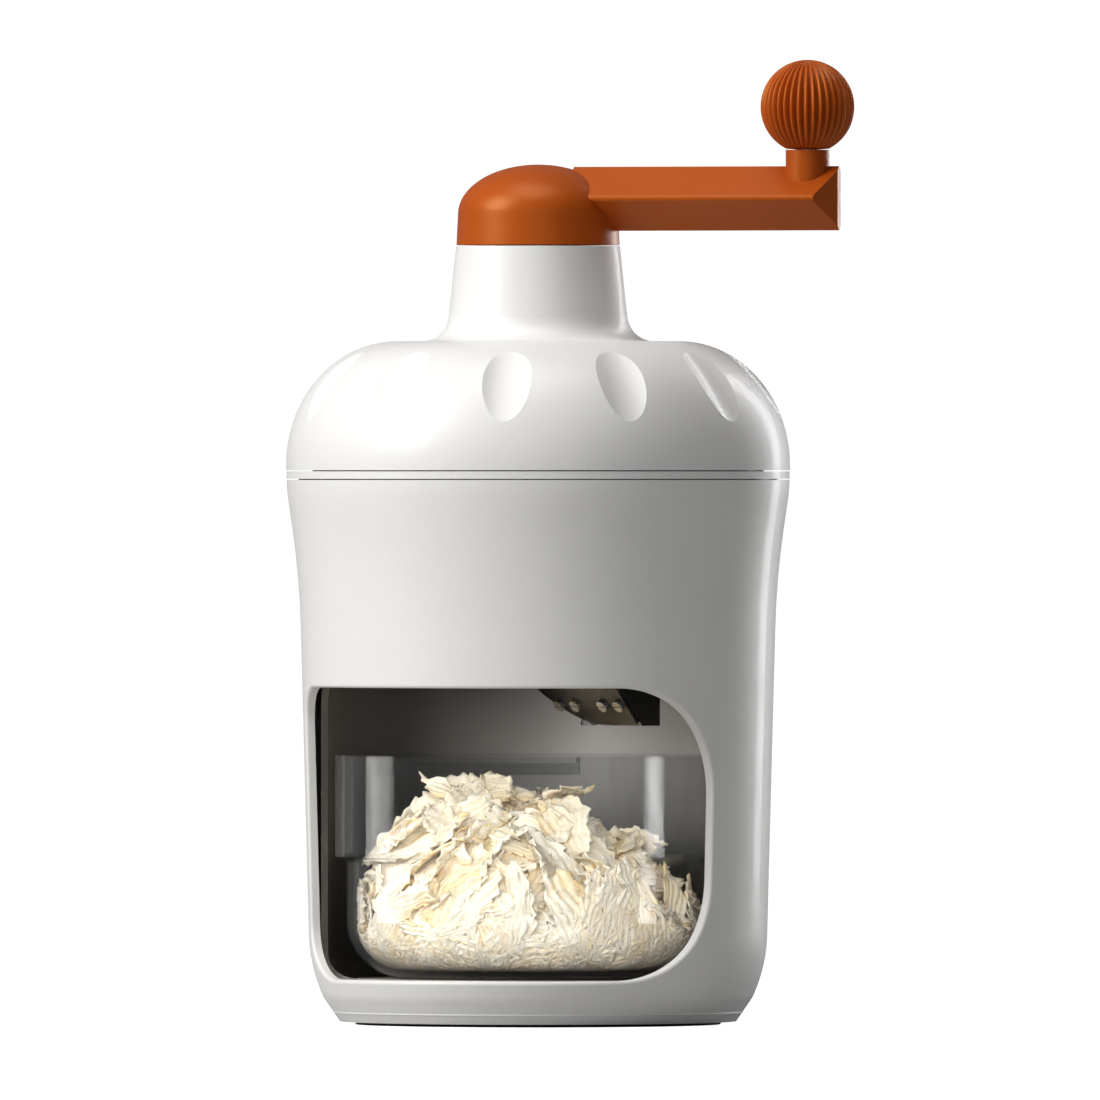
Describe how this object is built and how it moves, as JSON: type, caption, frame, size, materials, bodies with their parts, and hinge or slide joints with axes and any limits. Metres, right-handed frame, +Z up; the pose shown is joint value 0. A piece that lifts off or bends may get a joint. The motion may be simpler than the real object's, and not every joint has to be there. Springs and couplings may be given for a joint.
{
  "type": "hand-crank ice shaver",
  "caption": "White hand-crank ice shaver with an orange crank and ribbed knob, a domed scalloped lid, a radial serving opening and a clear slide-out bowl.",
  "frame": {"origin": "on the crank's axis, in the plane that the foot ring rests on", "axes": "+Z up along the crank's axis; -Y is the front with the serving opening; +X is where the crank arm points at rest"},
  "size_m": [0.1554, 0.1352, 0.2584],
  "materials": {
    "white_plastic": "satin",
    "orange_plastic": "satin",
    "dark_liner": "matte",
    "dark_block": "glossy",
    "clear_bowl": "clear glossy",
    "steel": "brushed",
    "rubber": "matte",
    "silicone": "matte",
    "bush_plastic": "satin"
  },
  "bodies": {
    "base": {"housing": "white_plastic", "liner": "dark_liner", "base_cover": "white_plastic", "foot_ring": "rubber", "base_screws": "steel"},
    "chamber": {"ice_chamber": "white_plastic", "blade_block": "dark_block", "blade": "steel", "blade_screws": "steel", "block_screws": "steel"},
    "seal": {"seal_ring": "silicone"},
    "lid_body": {"lid": "white_plastic", "crank_bush": "bush_plastic"},
    "crank": {"crank_arm": "orange_plastic", "drive_shaft": "steel", "thrust_washer": "steel", "spring_washer": "steel", "shaft_clip": "steel", "end_washer": "steel", "end_screw": "steel", "pressure_spring": "steel", "knob_pin": "steel"},
    "knob_body": {"knob": "orange_plastic"},
    "plate": {"press_plate": "white_plastic"},
    "bowl_body": {"bowl": "clear_bowl"}
  },
  "joints": [
    {"name": "chamber_lift", "type": "slide", "parent": "base", "child": "chamber", "axis": [0, 0, 1], "range_m": [0, 0.075]},
    {"name": "lid_turn", "type": "hinge", "parent": "chamber", "child": "seal", "pos_m": [0, 0, 0.15], "axis": [0, 0, 1], "range_deg": [0, 720]},
    {"name": "lid_rise", "type": "slide", "parent": "seal", "child": "lid_body", "axis": [0, 0, 1], "range_m": [0, 0.0962]},
    {"name": "crank_turn", "type": "hinge", "parent": "lid_body", "child": "crank", "pos_m": [0, 0, 0.209], "axis": [0, 0, 1], "continuous": true},
    {"name": "knob_spin", "type": "hinge", "parent": "crank", "child": "knob_body", "pos_m": [0.0752, 0, 0.2458], "axis": [0, 0, 1], "continuous": true},
    {"name": "plate_slide", "type": "slide", "parent": "crank", "child": "plate", "axis": [0, 0, 1], "range_m": [0, 0.05], "stiffness_N_per_m": 300, "springref_m": -0.02, "deforming": ["pressure_spring"]},
    {"name": "bowl_slide", "type": "slide", "parent": "base", "child": "bowl_body", "axis": [0, -1, 0], "range_m": [0, 0.125]}
  ],
  "couplings": [
    {"joint": "lid_rise", "follows": "lid_turn", "m_per_rad": 0.0076394}
  ]
}
